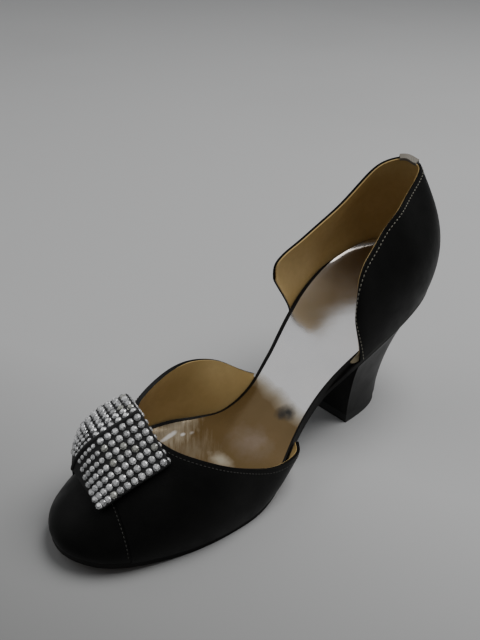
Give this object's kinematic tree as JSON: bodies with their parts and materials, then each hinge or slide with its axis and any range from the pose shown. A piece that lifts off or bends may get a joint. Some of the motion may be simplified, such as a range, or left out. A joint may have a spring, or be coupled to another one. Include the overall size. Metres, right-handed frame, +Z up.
{
  "type": "open-sided pump",
  "caption": "Women's black leather pump for the left foot: closed toe with a cap seam, open sides, block heel, silver footbed and a folded stone-set bow on the throat.",
  "frame": {"origin": "bottom centre of the bounding box, on the plane that the tread and the heel stand on", "axes": "+Z up, -Y toward the toe, +X toward the outer side of the left foot"},
  "size_m": [0.0808, 0.2358, 0.1304],
  "materials": {
    "upper_leather": "satin",
    "lining_leather": "satin",
    "insock_leather": "gloss",
    "insole_cover": "satin",
    "sole_leather": "matte",
    "heel_cover": "satin",
    "heel_rubber": "matte",
    "back_tape": "matte",
    "bow_fabric": "matte",
    "bow_stones": "gloss",
    "thread": "matte"
  },
  "bodies": {
    "root": {"toe_cap": "upper_leather", "vamp": "upper_leather", "counter": "upper_leather", "back_tab": "back_tape", "insock": "insock_leather", "insole": "insole_cover", "outsole": "sole_leather", "heel_block": "heel_cover", "heel_top_piece": "heel_rubber", "bow_outer_wing": "bow_fabric", "bow_inner_wing": "bow_fabric"}
  },
  "joints": []
}
